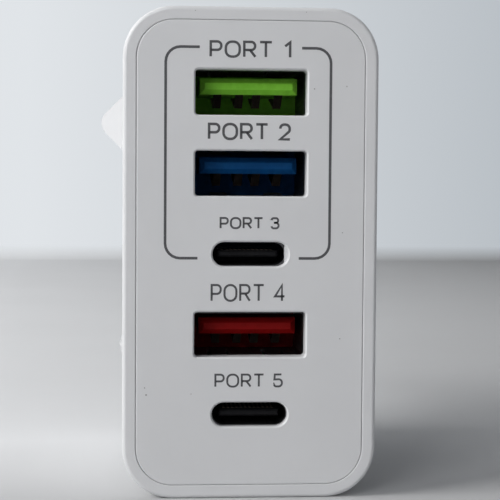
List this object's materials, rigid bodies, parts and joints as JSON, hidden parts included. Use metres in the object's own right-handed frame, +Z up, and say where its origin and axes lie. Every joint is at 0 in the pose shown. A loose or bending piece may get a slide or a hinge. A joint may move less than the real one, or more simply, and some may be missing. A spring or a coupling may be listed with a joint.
{
  "type": "usb charger",
  "caption": "Upright wall charger: rounded box with a column of type A and type C sockets in an inset front panel, and a hexagonal round-pin plug on its back.",
  "frame": {"origin": "centre of the flat underside of the housing, where the charger stands", "axes": "+X to the right across the port face, +Y from the port face towards the plug, +Z up"},
  "size_m": [0.0352, 0.078, 0.0549],
  "materials": {
    "white_plastic": "satin moulded",
    "pin_metal": "nickel plated",
    "sleeve_black": "moulded",
    "shell_metal": "plated sheet",
    "contact_metal": "gold flashed",
    "tongue_green": "moulded",
    "tongue_blue": "moulded",
    "tongue_red": "moulded",
    "tongue_black": "moulded",
    "board": "masked laminate",
    "can_sleeve": "shrunk film over aluminium",
    "ferrite": "sintered",
    "winding_tape": "tape over copper wire",
    "inner_black": "moulded",
    "fuse_brown": "moulded",
    "disc_blue": "dipped",
    "header_metal": "tin plated"
  },
  "bodies": {
    "root": {"housing": "white_plastic", "front_panel": "white_plastic", "plug_base": "white_plastic", "plug_pin_left": "pin_metal", "plug_pin_right": "pin_metal", "pin_sleeve_left": "sleeve_black", "pin_sleeve_right": "sleeve_black", "port_board": "board", "power_board": "board", "port_controller": "inner_black", "bulk_capacitor_left": "can_sleeve", "bulk_capacitor_right": "can_sleeve", "output_capacitor_left": "can_sleeve", "output_capacitor_right": "can_sleeve", "transformer_core": "ferrite", "transformer_winding": "winding_tape", "transformer_bobbin": "inner_black", "emi_choke": "inner_black", "fuse": "fuse_brown", "safety_capacitor": "disc_blue", "bridge_rectifier": "inner_black", "output_rectifier": "inner_black", "switching_controller": "inner_black", "header_pins": "header_metal", "header_bar": "inner_black", "usb_a1_shell": "shell_metal", "usb_a1_tongue": "tongue_green", "usb_a1_contacts": "contact_metal", "usb_a2_shell": "shell_metal", "usb_a2_tongue": "tongue_blue", "usb_a2_contacts": "contact_metal", "usb_c1_shell": "shell_metal", "usb_c1_tongue": "tongue_black", "usb_c1_contacts": "contact_metal", "usb_a3_shell": "shell_metal", "usb_a3_tongue": "tongue_red", "usb_a3_contacts": "contact_metal", "usb_c2_shell": "shell_metal", "usb_c2_tongue": "tongue_black", "usb_c2_contacts": "contact_metal"}
  },
  "joints": []
}
